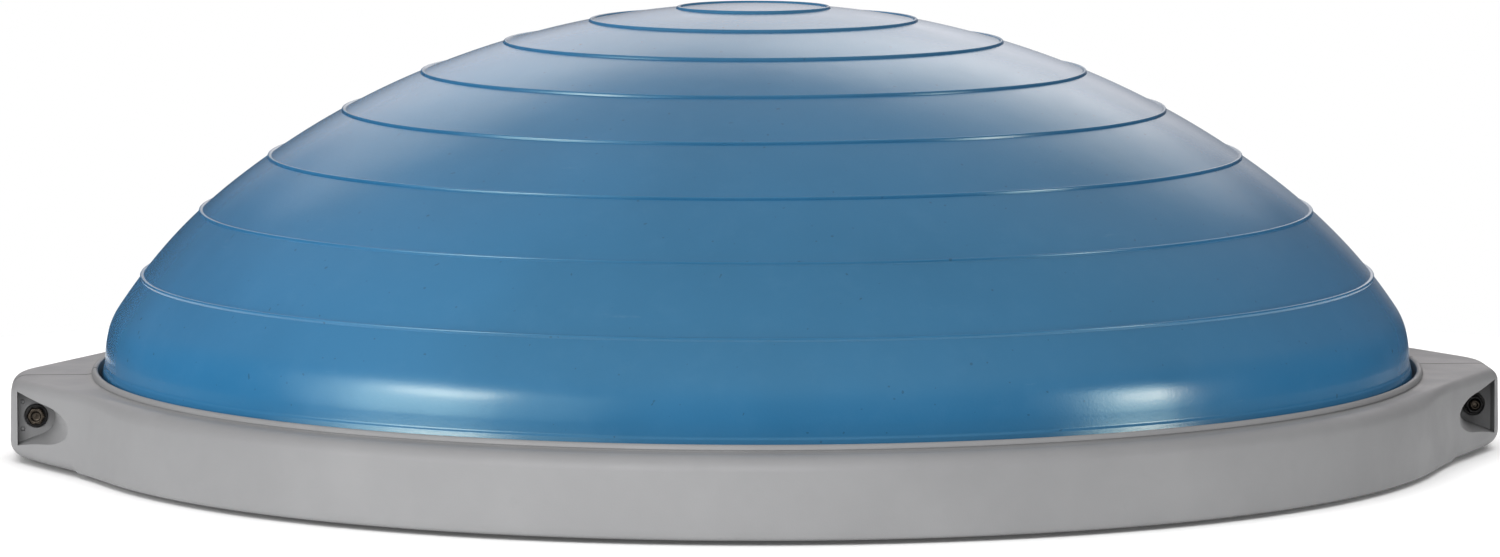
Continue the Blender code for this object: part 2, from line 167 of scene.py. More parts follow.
def face_outwards(item):
    shape = bmesh.new()
    shape.from_mesh(item.data)
    bmesh.ops.recalc_face_normals(shape, faces=shape.faces)
    shape.to_mesh(item.data)
    shape.free()
    return item


def smooth(item, angle=35.0):
    item.data.shade_smooth()
    item.data.set_sharp_from_angle(angle=math.radians(angle))
    return item


def turned(name, outline, steps, closed=False):
    """Turns an outline of (radius, z), listed from the top down its outer side, round the Z axis."""
    verts = []
    rings = []
    for radius, z in outline:
        if radius < 1e-7:
            rings.append([len(verts)] * steps)
            verts.append((0.0, 0.0, z))
            continue
        rings.append(list(range(len(verts), len(verts) + steps)))
        for k in range(steps):
            angle = 2 * math.pi * k / steps
            verts.append((radius * math.cos(angle), radius * math.sin(angle), z))
    faces = []
    pairs = list(zip(rings, rings[1:]))
    if closed:
        pairs.append((rings[-1], rings[0]))
    for upper, lower in pairs:
        for k in range(steps):
            j = (k + 1) % steps
            corners = [upper[k], lower[k], lower[j], upper[j]]
            unique = list(dict.fromkeys(corners))
            if len(unique) > 2:
                faces.append(unique)
    return new_object(name, verts, faces)


def loft(name, loops):
    """Skins a list of closed loops with the same number of points, and caps the two ends."""
    count = len(loops[0])
    verts = [point for loop in loops for point in loop]
    faces = []
    for i in range(len(loops) - 1):
        j = i + 1
        for k in range(count):
            m = (k + 1) % count
            faces.append((i * count + k, j * count + k, j * count + m, i * count + m))
    faces.append(tuple(range(count)))
    faces.append(tuple(range((len(loops) - 1) * count, len(loops) * count)))
    return face_outwards(new_object(name, verts, faces))


def applied(item):
    """Replaces an object's mesh by its evaluated one."""
    bpy.context.view_layer.update()
    evaluated = item.evaluated_get(bpy.context.evaluated_depsgraph_get())
    mesh = bpy.data.meshes.new_from_object(evaluated)
    old = item.data
    item.modifiers.clear()
    item.data = mesh
    bpy.data.meshes.remove(old)
    return item


def combine(item, other, operation):
    """Applies a Boolean with another object, which is then removed."""
    step = item.modifiers.new("combine", "BOOLEAN")
    step.operation = operation
    step.solver = "EXACT"
    step.object = other
    applied(item)
    bpy.data.objects.remove(other, do_unlink=True)
    return item


def rounded(item, width, segments=2, angle=40.0):
    step = item.modifiers.new("round", "BEVEL")
    step.width = width
    step.segments = segments
    step.limit_method = "ANGLE"
    step.angle_limit = math.radians(angle)
    step.use_clamp_overlap = True
    return applied(item)


def arc(centre, radius, start, end, count):
    """Points on an arc in (radius, z), angles in degrees from +r towards +z."""
    cx, cz = centre
    angles = [math.radians(mix(start, end, i / count)) for i in range(count + 1)]
    return [(cx + radius * math.cos(a), cz + radius * math.sin(a)) for a in angles]


# ---------------------------------------------------------------- materials


class Nodes:
    """A small helper to build a node material."""

    def __init__(self, name, colour, roughness, metallic=0.0):
        self.material = bpy.data.materials.new(name)
        self.material.use_nodes = True
        self.tree = self.material.node_tree
        self.shader = self.tree.nodes["Principled BSDF"]
        self.shader.inputs["Base Color"].default_value = (*colour, 1.0)
        self.shader.inputs["Roughness"].default_value = roughness
        self.shader.inputs["Metallic"].default_value = metallic
        self.place = self.tree.nodes.new("ShaderNodeTexCoord").outputs["Object"]

    def link(self, source, target):
        self.tree.links.new(source, target)

    def noise(self, scale, detail=2.0, roughness=0.5, stretch=None):
        place = self.place
        if stretch:
            mapping = self.tree.nodes.new("ShaderNodeMapping")
            mapping.inputs["Scale"].default_value = stretch
            self.link(place, mapping.inputs["Vector"])
            place = mapping.outputs["Vector"]
        node = self.tree.nodes.new("ShaderNodeTexNoise")
        node.inputs["Scale"].default_value = scale
        node.inputs["Detail"].default_value = detail
        node.inputs["Roughness"].default_value = roughness
        self.link(place, node.inputs["Vector"])
        return node.outputs["Fac"]

    def from_seam(self):
        """Distance from the plane where the rim halves meet."""
        apart = self.tree.nodes.new("ShaderNodeSeparateXYZ")
        self.link(self.place, apart.inputs[0])
        size = self.tree.nodes.new("ShaderNodeMath")
        size.operation = "ABSOLUTE"
        self.link(apart.outputs["Y"], size.inputs[0])
        return size.outputs["Value"]

    def ramp(self, source, low, high, start=0.0, end=1.0):
        """Maps a value from low..high to start..end, smoothly."""
        node = self.tree.nodes.new("ShaderNodeMapRange")
        node.interpolation_type = "SMOOTHSTEP"
        node.inputs["From Min"].default_value = low
        node.inputs["From Max"].default_value = high
        node.inputs["To Min"].default_value = start
        node.inputs["To Max"].default_value = end
        self.link(source, node.inputs["Value"])
        return node.outputs["Result"]

    def blend(self, share, first, second):
        """Mixes two colours, given as tuples or outputs."""
        node = self.tree.nodes.new("ShaderNodeMix")
        node.data_type = "RGBA"
        self.link(share, node.inputs["Factor"])
        for value, socket in ((first, node.inputs["A"]), (second, node.inputs["B"])):
            if isinstance(value, tuple):
                socket.default_value = (*value, 1.0)
            else:
                self.link(value, socket)
        return node.outputs["Result"]

    def bump(self, height, distance, strength=1.0, below=None):
        node = self.tree.nodes.new("ShaderNodeBump")
        node.inputs["Distance"].default_value = distance
        node.inputs["Strength"].default_value = strength
        self.link(height, node.inputs["Height"])
        if below:
            self.link(below, node.inputs["Normal"])
        return node.outputs["Normal"]

    def wear(self, colour=None, roughness=None, normal=None):
        """Links what varies to the shader."""
        for source, socket in ((colour, "Base Color"), (roughness, "Roughness"), (normal, "Normal")):
            if source:
                self.link(source, self.shader.inputs[socket])
        return self.material


def dome_material():
    """Satin flexible PVC: close blues in slow clouds, with a few dark specks and pale scuffs."""
    nodes = Nodes("dome_pvc", (0.021, 0.148, 0.318), 0.23)
    nodes.shader.inputs["Specular IOR Level"].default_value = 0.75
    nodes.shader.inputs["Specular Tint"].default_value = (0.69, 1.0, 0.94, 1.0)
    clouds = nodes.ramp(nodes.noise(7.0, 3.0), 0.35, 0.65)
    base = nodes.blend(clouds, (0.018, 0.133, 0.286), (0.022, 0.151, 0.322))
    mottle = nodes.ramp(nodes.noise(60.0, 4.0, 0.65), 0.45, 0.75, 0.0, 0.10)
    base = nodes.blend(mottle, base, (0.060, 0.200, 0.380))
    specks = nodes.ramp(nodes.noise(420.0, 0.0), 0.835, 0.855, 0.0, 0.45)
    base = nodes.blend(specks, base, (0.010, 0.034, 0.075))
    scuffs = nodes.ramp(nodes.noise(38.0, 5.0, 0.7, (1.0, 1.0, 6.0)), 0.66, 0.78, 0.0, 0.08)
    base = nodes.blend(scuffs, base, (0.260, 0.360, 0.450))
    gloss = nodes.ramp(nodes.noise(14.0, 4.0, 0.6), 0.3, 0.7, 0.20, 0.26)
    peel = nodes.bump(nodes.noise(800.0, 2.0), 0.00007, 0.5)
    slow = nodes.bump(nodes.noise(26.0, 2.0), 0.0006, 0.3, peel)
    return nodes.wear(base, gloss, slow)


def rim_material():
    """Matt moulded plastic with a fine grain, faint clouding and a few rubbed marks, and a painted shadow
    along the seam where the two halves meet.
    """
    nodes = Nodes("rim_plastic", (0.214, 0.215, 0.219), 0.55)
    clouds = nodes.ramp(nodes.noise(14.0, 4.0, 0.6), 0.3, 0.7)
    base = nodes.blend(clouds, (0.204, 0.205, 0.209), (0.223, 0.224, 0.228))
    marks = nodes.ramp(nodes.noise(90.0, 5.0, 0.7), 0.62, 0.80, 0.0, 0.14)
    base = nodes.blend(marks, base, (0.150, 0.150, 0.153))
    # Painted shadow: within about a millimetre of the plane where the halves meet, the colour goes nearly
    # black, standing in for the shade in the gap between them.
    seam_shadow = nodes.ramp(nodes.from_seam(), 0.0004, 0.0013, 0.9, 0.0)
    base = nodes.blend(seam_shadow, base, (0.030, 0.030, 0.031))
    gloss = nodes.ramp(nodes.noise(40.0, 3.0), 0.3, 0.7, 0.50, 0.60)
    grain = nodes.bump(nodes.noise(1500.0, 2.0), 0.00006, 0.6)
    return nodes.wear(base, gloss, grain)


def plate_material():
    nodes = Nodes("plate_plastic", (0.055, 0.057, 0.061), 0.6)
    clouds = nodes.ramp(nodes.noise(20.0, 4.0, 0.6), 0.3, 0.7)
    base = nodes.blend(clouds, (0.048, 0.050, 0.054), (0.062, 0.064, 0.068))
    gloss = nodes.ramp(nodes.noise(60.0, 3.0), 0.3, 0.7, 0.52, 0.66)
    grain = nodes.bump(nodes.noise(1100.0, 3.0), 0.00012, 0.8)
    return nodes.wear(base, gloss, grain)


def rubber_material():
    nodes = Nodes("foot_rubber", (0.012, 0.012, 0.013), 0.75)
    dust = nodes.ramp(nodes.noise(160.0, 4.0, 0.65), 0.5, 0.75, 0.0, 0.5)
    base = nodes.blend(dust, (0.011, 0.011, 0.012), (0.040, 0.039, 0.037))
    gloss = nodes.ramp(nodes.noise(200.0, 2.0), 0.3, 0.7, 0.66, 0.82)
    grain = nodes.bump(nodes.noise(1800.0, 2.0), 0.00008, 0.8)
    return nodes.wear(base, gloss, grain)


def metal_material(name, dark, light, low, high):
    """Plated metal: two tones in blotches, with fine scratches in its gloss."""
    nodes = Nodes(name, light, low, 1.0)
    blotch = nodes.ramp(nodes.noise(420.0, 4.0, 0.6), 0.35, 0.65)
    base = nodes.blend(blotch, dark, light)
    gloss = nodes.ramp(nodes.noise(900.0, 3.0, 0.6), 0.3, 0.7, low, high)
    grain = nodes.bump(nodes.noise(3000.0, 2.0), 0.00003, 0.6)
    return nodes.wear(base, gloss, grain)


def valve_material():
    nodes = Nodes("valve_plastic", (0.600, 0.610, 0.600), 0.4)
    clouds = nodes.ramp(nodes.noise(120.0, 3.0), 0.35, 0.65)
    base = nodes.blend(clouds, (0.560, 0.565, 0.550), (0.620, 0.630, 0.620))
    gloss = nodes.ramp(nodes.noise(240.0, 2.0), 0.3, 0.7, 0.36, 0.46)
    grain = nodes.bump(nodes.noise(1500.0, 2.0), 0.00004, 0.5)
    return nodes.wear(base, gloss, grain)


MATERIALS = {
    "dome_blue": dome_material(),
    "rim_grey": rim_material(),
    "plate_grey": plate_material(),
    "rubber_black": rubber_material(),
    "bolt_steel": metal_material("bolt_plating", (0.034, 0.028, 0.022), (0.074, 0.062, 0.049), 0.24, 0.38),
    "screw_steel": metal_material("screw_plating", (0.38, 0.38, 0.37), (0.55, 0.55, 0.54), 0.25, 0.40),
    "washer_black": metal_material("black_oxide", (0.020, 0.020, 0.021), (0.045, 0.044, 0.043), 0.35, 0.50),
    "valve_white": valve_material(),
}


def settle(item, body, slot, *nodes):
    """Gives a finished piece its material and its body, and hides the imported nodes it stands for."""
    item.data.materials.clear()
    item.data.materials.append(MATERIALS[slot])
    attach(item, body)
    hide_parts(*nodes)
    return item


# ---------------------------------------------------------------- dome


def dome_point(distance, proud=0.0):
    """Radius and height at a distance along the dome's outline, moved outwards by proud."""
    slope = 0.0
    radius, height = 0.0, CROWN
    for bend, end_slope in DOME_ARCS:
        end = math.radians(end_slope)
        here = slope + min(distance, bend * (end - slope)) / bend
        distance -= bend * (here - slope)
        radius += bend * (math.sin(here) - math.sin(slope))
        height += bend * (math.cos(here) - math.cos(slope))
        slope = here
        if distance <= 1e-9:
            break
    return radius + proud * math.sin(slope), height + proud * math.cos(slope)


def dome_reach():
    """Length of the dome's outline from the crown to the end of its last arc."""
    slopes = [0.0] + [math.radians(end) for _, end in DOME_ARCS]
    return sum(bend * (slopes[i + 1] - slopes[i]) for i, (bend, _) in enumerate(DOME_ARCS))


def rib_height(offset):
    """Height of a rib at an offset from its crest, its side above a little steeper than the one below."""
    share = min(abs(offset) / (RIB_BELOW if offset > 0 else RIB_ABOVE), 1.0)
    return RIB_HEIGHT * (1 - share ** 2.2) ** 1.2


def dome_outline():
    """Outer outline from the crown down to the foot of the wall, with its ribs."""
    reach = dome_reach()
    crests = [RIB_FIRST + i * RIB_PITCH for i in range(RIB_COUNT)]
    stations = set()
    edge = 0.0
    for crest in crests + [reach + RIB_ABOVE]:
        stations.update(mix(edge, crest - RIB_ABOVE, i / 8) for i in range(9))
        if crest < reach:
            stations.update(crest - RIB_ABOVE * i / 6 for i in range(6))
            stations.update(crest + RIB_BELOW * i / 6 for i in range(7))
        edge = crest + RIB_BELOW
    stations.update(mix(crests[-1] + RIB_BELOW, reach, i / 24) for i in range(25))
    line = []
    for station in sorted(stations):
        near = min(crests, key=lambda crest: abs(crest - station))
        point = dome_point(station, rib_height(station - near))
        if not line or math.dist(point, line[-1]) > 1e-5:
            line.append(point)
    return line


def dome_solid():
    """The bladder before its skin is made uneven: wall, mould line, foot flange and the air inside."""
    outline = dome_outline()
    wall = outline[-1][0]
    low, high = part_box("dome_bladder")
    bead = high.x
    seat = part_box("base_plate")[1].z + 0.0003
    foot = [
        (wall + 0.0001, MOULD_LINE_Z + 0.0012),
        (wall + 0.0002, MOULD_LINE_Z + 0.0003),
        (wall + 0.0005, MOULD_LINE_Z),
        (wall + 0.0006, MOULD_LINE_Z - 0.0005),
        (wall + 0.0009, 0.0422),
        (wall + 0.0012, 0.0410),
        (wall + 0.0015, 0.0395),
        (wall + 0.0017, 0.0360),
        (wall + 0.0024, CHANNEL_TOP - 0.0003),
        (bead - 0.0010, CHANNEL_TOP - 0.0003),
        (bead, CHANNEL_TOP - 0.0013),
        (bead, seat + 0.0010),
        (bead - 0.0010, seat),
        (DOME_FOOT_RADIUS, seat),
        (DOME_FOOT_RADIUS, low.z + 0.0012),
        (DOME_FOOT_RADIUS - 0.0012, low.z),
        (0.2000, low.z),
        (0.0, low.z),
    ]
    solid = turned("dome", outline + foot, DOME_STEPS)
    floor = low.z + DOME_WALL
    inside = wall - DOME_WALL
    reach = dome_reach()
    upper = [dome_point(reach * i / 28, -DOME_WALL) for i in range(29)]
    lower = [(inside, floor + 0.004), (inside - 0.0012, floor + 0.0012), (inside - 0.004, floor)]
    lower.append((0.0, floor))
    return combine(solid, turned("cavity", upper + lower, 96), "DIFFERENCE")


def valve_place():
    """Frame of the valve: its origin on the dome's skin, its Z axis pointing out of the wall."""
    turn = Matrix.Rotation(VALVE_LEAN - math.pi / 2, 4, "X")
    return Matrix.Translation((0.0, VALVE_RADIUS, VALVE_Z)) @ turn


def unevenness(x, y, z):
    """Small, slow departures of an inflated skin from its turned shape: a share of a millimetre."""
    turn = math.atan2(y, x)
    high = z / CROWN
    waves = (
        0.45 * math.sin(3 * turn + 5.1 * high + 0.7)
        + 0.30 * math.sin(5 * turn - 7.3 * high + 2.1)
        + 0.22 * math.sin(8 * turn + 11.0 * high + 4.4)
        + 0.14 * math.sin(13 * turn - 17.0 * high + 1.3)
    )
    return SKIN_WAVES * waves * smoothstep((z - 0.060) / 0.050) * (1 - smoothstep((z - 0.165) / 0.035))


def make_dome():
    dome = dome_solid()
    hole = plug("hole", VALVE_HOLE_RADIUS, 0.02, -0.02)
    hole.data.transform(valve_place())
    combine(dome, hole, "DIFFERENCE")
    for vert in dome.data.vertices:
        x, y, z = vert.co
        out = Vector((x, y, max(z - 0.05, 0.0) * 1.6)).normalized()
        vert.co += out * unevenness(x, y, z)
        vert.co.x -= DOME_LEAN * smoothstep((z - 0.065) / 0.140)
        vert.co.z -= DOME_SAG * smoothstep((z - 0.130) / 0.075)
    smooth(dome, 50)
    dome.data.materials.clear()
    dome.data.materials.append(MATERIALS["dome_blue"])
    lit_group("dome_lit").objects.link(dome)
    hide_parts("dome_bladder")
    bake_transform(dome)


# ---------------------------------------------------------------- rim


def fade(angle, start, end):
    """Goes from 0 at the start angle to 1 at the end angle, both in degrees."""
    return smoothstep((math.degrees(angle) - start) / (end - start))


def ear_reach(angle):
    """How far out the rim's wall goes at an angle from the middle of an ear."""
    end = EAR_REACH / math.cos(min(angle, 1.0))
    flank = FLANK_RADIUS / math.cos(min(angle - FLANK_ANGLE, 0.0))
    return smooth_max(smooth_min(end, flank, 0.0030), RING_RADIUS, 0.0036)


def top_edge(angle):
    """Where the flat top ends: on straight lines along an ear's flanks and end, then round the ring."""
    end = (EAR_REACH - 0.0075) / math.cos(min(angle, 1.0))
    flank = TOP_EDGE_RADIUS / math.cos(min(angle - FLANK_ANGLE, 0.0))
    return smooth_min(end, flank, 0.0040)


def rim_section(angle, inset):
    """Closed section of the rim at an angle from the middle of an ear, its outside drawn in by inset."""
    reach = ear_reach(angle) - inset
    draft = mix(0.0004, WALL_DRAFT, fade(angle, 11.0, 18.0))
    flat_end = top_edge(angle) - inset
    across = reach - draft - flat_end
    drop = 0.0048 + 0.6 * clamp(across - 0.0044, 0.0, 0.0041)
    foot = mix(mix(0.0078, 0.0050, fade(angle, 1.0, 8.0)), 0.0018, fade(angle, 12.8, 14.2))
    top = EAR_TOP - inset
    bottom = RIM_BOTTOM + inset
    bead = [
        (LIP_RADIUS, CHANNEL_TOP),
        (LIP_RADIUS, 0.0409 - inset),
        (0.3090, 0.0415 - inset),
        (0.3096, 0.0419 - inset),
        (0.3103, 0.0420 - inset),
        (0.3110, 0.0417 - inset),
        (0.3115, 0.0411 - inset),
        (0.3118, 0.0404 - inset),
        (0.3119, 0.0399 - inset),
        (0.3116, 0.0396 - inset),
        (0.3115, 0.0392 - inset),
        (0.3119, 0.0390 - inset),
        (0.3126, 0.0389 - inset),
        (0.3134, 0.0388 - inset),
        (0.3141, 0.0387 - inset),
    ]
    flat_z = top - 0.0001
    flat = [(mix(BEAD_END_RADIUS, flat_end, i / 8), flat_z) for i in range(9)]
    corner = []
    for i in range(1, 10):
        turn = math.pi / 2 * i / 9
        corner.append((flat_end + across * math.sin(turn), flat_z - drop * (1 - math.cos(turn))))
    wall_top = top - drop
    wall = [
        (reach - draft * (1 - i / 10) ** 1.3, mix(wall_top, bottom + foot, i / 10))
        for i in range(1, 11)
    ]
    heel = []
    for i in range(1, 7):
        turn = math.pi / 2 * i / 6
        heel.append((reach - foot * (1 - math.cos(turn)), bottom + foot * (1 - math.sin(turn))))
    under = [(mix(reach - foot, FLANGE_RADIUS, i / 4), bottom) for i in range(1, 5)]
    channel = [(FLANGE_RADIUS, CHANNEL_FLOOR), (CHANNEL_RADIUS, CHANNEL_FLOOR), (CHANNEL_RADIUS, CHANNEL_TOP)]
    return bead + flat + corner + wall + heel + under + channel


def rim_stations():
    """Angles from one seam to the middle of a half, with the inset that rounds the seam's edges."""
    near = [(0.00015, 0.00045), (0.00026, 0.00025), (0.00042, 0.00010), (0.00070, 0.0)]
    stations = [(away / EAR_REACH, inset) for away, inset in near]
    degrees = [0.3 + 0.3 * i for i in range(60)] + [18.8 + 1.2 * i for i in range(60)]
    return stations + [(math.radians(value), 0.0) for value in degrees if value < 89.9]


def pocket_section(away, share):
    """D-shaped section of a pocket: round towards the ring, spreading towards the ear's end."""
    centre = BOLT_X - 0.0080 * share ** 1.7
    radius = mix(0.0088, 0.0096, share)
    spread = mix(0.0124, 0.0136, share)
    outer = EAR_REACH - mix(0.0038, 0.0020, share)
    side = outer - centre
    lean = math.asin(radius / math.hypot(side, spread))
    start = math.degrees(math.atan2(spread, side) + math.pi / 2 - lean)
    loop = [(outer, away, BOLT_Z + spread)]
    for i in range(33):
        angle = math.radians(mix(start, 360 - start, i / 32))
        loop.append((centre + radius * math.cos(angle), away, BOLT_Z + radius * math.sin(angle)))
    loop.append((outer, away, BOLT_Z - spread))
    return loop


def pocket_cutter(side):
    """Cutter for one front pocket. It runs on a quarter past the pocket's depth, out of the ear."""
    loops = []
    for i in range(POCKET_SECTIONS + 1):
        share = i / POCKET_SECTIONS * 1.25
        loop = pocket_section(POCKET_FLOOR + POCKET_DEPTH * share, share)
        loops.append([(side * x, -y, z) for x, y, z in loop])
    return loft("pocket", loops)


def on_bolt(item, side, face=-1, start=0.0):
    """Moves a piece made along +Z to an ear's bolt line, pointing to the front (face -1) or the back (1)."""
    where = Matrix.Translation((side * BOLT_X, face * start, BOLT_Z))
    item.data.transform(where @ Matrix.Rotation(-face * math.pi / 2, 4, "X"))
    return item


def plug(name, radius, high, low, steps=40):
    """A plain round cutter between two heights."""
    return turned(name, [(0.0, high), (radius, high), (radius, low), (0.0, low)], steps)


def front_half():
    """The front rim half, with two moulded pips beside the left bolt."""
    half = rim_stations()
    loops = []
    for angle, inset in half:
        loops.append([(-r * math.cos(angle), -r * math.sin(angle), z) for r, z in rim_section(angle, inset)])
    for angle, inset in half[::-1]:
        loops.append([(r * math.cos(angle), -r * math.sin(angle), z) for r, z in rim_section(angle, inset)])
    rim = loft("front_rim", loops)
    for side in (-1, 1):
        combine(rim, pocket_cutter(side), "DIFFERENCE")
        combine(rim, on_bolt(plug("bore", BORE_RADIUS, 0.02, -0.02), side), "DIFFERENCE")
        seat = on_bolt(plug("seat", WASHER_SEAT_RADIUS, 0.006, 0.0), side, start=WASHER_SEAT)
        combine(rim, seat, "DIFFERENCE")
    outline = [(0.0, 0.0012), (0.0006, 0.0011), (0.0010, 0.0006), (0.0011, -0.0010), (0.0, -0.0010)]
    for height in PIP_HEIGHTS:
        pip = turned("pip", outline, 20)
        pip.data.transform(Matrix.Translation((-PIP_OUTWARDS, height, 0.0)))
        combine(rim, on_bolt(pip, -1, start=POCKET_FLOOR), "UNION")
    return rim


def make_rims():
    """Both rim halves: the rear one is the same moulding, turned half round."""
    front = front_half()
    rear = new_object("rear_rim", [], [])
    rear.data = front.data.copy()
    rear.data.transform(Matrix.Rotation(math.pi, 4, "Z"))
    for item in (front, rear):
        smooth(item, 32)
        lit_group("rim_lit").objects.link(item)
    settle(front, "platform", "rim_grey", "front_rim_half")
    settle(rear, "platform", "rim_grey", "rear_rim_half")


# ---------------------------------------------------------------- bolts, nuts and washers


def hexagon(name, outline):
    """A six-sided bar. The outline gives shares of its corner radius, and heights, from the top down."""
    corner = ACROSS_FLATS / 2 / math.cos(math.radians(30))
    return turned(name, [(share * corner, z) for share, z in outline], 6)


def spans(node):
    """Distances of a clamp piece's two ends from the seam plane, the nearer first."""
    low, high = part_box(node)
    return sorted((abs(low.y), abs(high.y)))


def clamp_bolt(name, node):
    """Hexagon bolt along +Z: a dished head above, and below a chamfered, threaded end with a centre hole."""
    top, tail = spans(node)
    bearing = top - HEAD_HEIGHT
    crown = [(0.0, top), (0.86, top), (0.97, top - 0.0005), (1.0, top - 0.0012)]
    head = hexagon(name, crown + [(1.0, bearing), (0.0, bearing)])
    dish = [(0.0, 0.001), (0.0026, 0.001), (0.0024, 0.0), (0.0021, -0.0005), (0.0017, -0.0007)]
    dish.append((0.0, -0.0007))
    cutter = turned("dish", [(radius, top + z) for radius, z in dish], 40)
    rounded(combine(head, cutter, "DIFFERENCE"), 0.00018, 2, 25)
    shank = [(0.0, bearing + 0.0005), (BOLT_RADIUS, bearing + 0.0005)]
    for i in range(THREAD_TURNS):
        crest = THREAD_START - THREAD_PITCH * i
        shank += [(BOLT_RADIUS, crest + THREAD_PITCH * 0.35), (BOLT_RADIUS - THREAD_DEPTH, crest)]
    shank += [(BOLT_RADIUS, -tail + 0.0005), (0.0019, -tail), (0.0014, -tail), (0.0012, -tail + 0.0003)]
    shank += [(0.0010, -tail + 0.0012), (0.0, -tail + 0.0014)]
    return combine(head, turned("shank", shank, 40), "UNION")


def clamp_nut(name, node):
    """Hexagon nut along +Z, chamfered on both faces and bored through."""
    low, high = spans(node)
    chamfer = 0.0006
    nut = hexagon(
        name,
        [(0.0, high), (0.88, high), (1.0, high - chamfer), (1.0, low + chamfer), (0.88, low), (0.0, low)],
    )
    bore = [
        (0.0, high + 0.001),
        (0.0030, high + 0.001),
        (0.0030, high),
        (0.00255, high - chamfer),
        (0.00255, low + chamfer),
        (0.0030, low),
        (0.0030, low - 0.001),
        (0.0, low - 0.001),
    ]
    return rounded(combine(nut, turned("bore", bore, 40), "DIFFERENCE"), 0.00015, 2, 25)


def washer(name, node):
    """Flat washer along +Z with its edges broken."""
    low, high = spans(node)
    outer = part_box(node)[1].z - BOLT_Z
    edge = 0.0002
    outline = [
        (BORE_RADIUS + edge, high),
        (outer - edge, high),
        (outer, high - edge),
        (outer, low + edge),
        (outer - edge, low),
        (BORE_RADIUS + edge, low),
        (BORE_RADIUS, low + edge),
        (BORE_RADIUS, high - edge),
    ]
    return turned(name, outline, 64, closed=True)


def make_clamps():
    """Both clamps: the left bolt's head faces the front, the right one's the back."""
    builders = (
        ("clamp_bolt", clamp_bolt, 1, "bolt_steel"),
        ("head_washer", washer, 1, "washer_black"),
        ("nut_washer", washer, -1, "washer_black"),
        ("clamp_nut", clamp_nut, -1, "washer_black"),
    )
    for label, side in (("left", -1), ("right", 1)):
        for kind, build, end, slot in builders:
            node = f"{label}_{kind}"
            item = on_bolt(build(node + "_fine", node), side, face=side * end)
            settle(smooth(item, 32), "platform", slot, node)
            lit_group("rim_lit").objects.link(item)


# ---------------------------------------------------------------- platform and feet


def slot_loop(centre_x, grow, z):
    """A ring of points round a slot with half-round ends, its length along Y."""
    radius = RECESS_WIDTH / 2 + grow
    straight = (RECESS_LENGTH - RECESS_WIDTH) / 2
    loop = []
    for sign in (1, -1):
        for i in range(17):
            angle = math.pi * (i / 16 + (0 if sign > 0 else 1))
            loop.append((centre_x + radius * math.cos(angle), sign * straight + radius * math.sin(angle), z))
    return loop


def foot_places():
    turns = [2 * math.pi * (i + 0.5) / FOOT_COUNT for i in range(FOOT_COUNT)]
    return [(FOOT_CIRCLE * math.cos(a), FOOT_CIRCLE * math.sin(a)) for a in turns]


def make_plate():
    low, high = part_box("base_plate")
    edge = high.x
    top = high.z
    outline = [
        (0.0, PLATE_TOP),
        (SEAT_RADIUS, PLATE_TOP),
        (SEAT_RADIUS, top - 0.0008),
        (SEAT_RADIUS + 0.0008, top),
        (edge - 0.0008, top),
        (edge, top - 0.0008),
        (edge, 0.0071),
        (edge - 0.0008, 0.0063),
        (0.2984, 0.0063),
        (0.2984, low.z + 0.0016),
        (0.2980, low.z + 0.0006),
        (0.2970, low.z + 0.0001),
        (0.2955, low.z),
        (0.2500, low.z),
        (0.0, low.z),
    ]
    plate = turned("base_plate_fine", outline, 192)
    levels = (
        (0.0020, -0.0040),
        (0.0020, 0.0),
        (0.0006, 0.0007),
        (0.0, 0.0022),
        (0.0, 0.0080),
        (-0.0012, 0.0096),
        (-0.0036, 0.0100),
    )
    for side in (-1, 1):
        loops = [slot_loop(side * RECESS_X, grow, low.z + rise) for grow, rise in levels]
        combine(plate, loft("recess", loops), "DIFFERENCE")
    for x, y in foot_places():
        pocket = [
            (0.0, 0.0135),
            (SCREW_HOLE_RADIUS, 0.0130),
            (SCREW_HOLE_RADIUS, FOOT_POCKET_TOP),
            (FOOT_POCKET_RADIUS, FOOT_POCKET_TOP),
            (FOOT_POCKET_RADIUS, low.z + 0.0004),
            (FOOT_POCKET_RADIUS + 0.0006, low.z - 0.0002),
            (FOOT_POCKET_RADIUS + 0.0006, -0.004),
            (0.0, -0.004),
        ]
        cutter = turned("foot_pocket", pocket, 48)
        cutter.data.transform(Matrix.Translation((x, y, 0.0)))
        combine(plate, cutter, "DIFFERENCE")
    settle(smooth(plate, 30), "platform", "plate_grey", "base_plate")


def foot_mesh(name):
    """A round rubber foot with a well for its screw and two grooves in its sole."""
    outline = [(0.0022, 0.0045), (0.0144, 0.0045), (0.0148, 0.0043), (0.0150, 0.0039), (0.0150, 0.0012)]
    outline += arc((0.0138, 0.0012), 0.0012, 0, -90, 5)[1:]
    groove = ((0.0006, 0.0), (0.0004, 0.0006), (-0.0004, 0.0006), (-0.0006, 0.0))
    for middle in (0.0115, 0.0085):
        outline += [(middle + across, z) for across, z in groove]
    outline += [(0.0058, 0.0), (0.0053, 0.0002), (0.0050, 0.0006), (0.0046, 0.0026), (0.0022, 0.0026)]
    return turned(name, outline, 64, closed=True)


def screw_mesh(name):
    """A pan-head screw, its head below, with a tapering cross recess."""
    outline = [(0.0, 0.0125), (0.0010, 0.0118), (0.0016, 0.0105), (0.0016, 0.0023), (0.0041, 0.0023)]
    outline += [(0.0042, 0.0021), (0.0042, 0.0017), (0.0040, 0.0012), (0.0035, 0.0008)]
    outline += [(0.0026, 0.0006), (0.0, 0.0006)]
    screw = turned(name, outline, 40)
    loops = []
    for z, arm, half in ((0.0002, 0.0023, 0.00045), (0.0019, 0.0013, 0.00030)):
        quarter = [(arm, half), (half, half), (half, arm)]
        loop = []
        for turn in range(4):
            for x, y in quarter:
                for _ in range(turn):
                    x, y = -y, x
                loop.append((x, y, z))
        loops.append(loop)
    return combine(screw, loft("cross", loops), "DIFFERENCE")


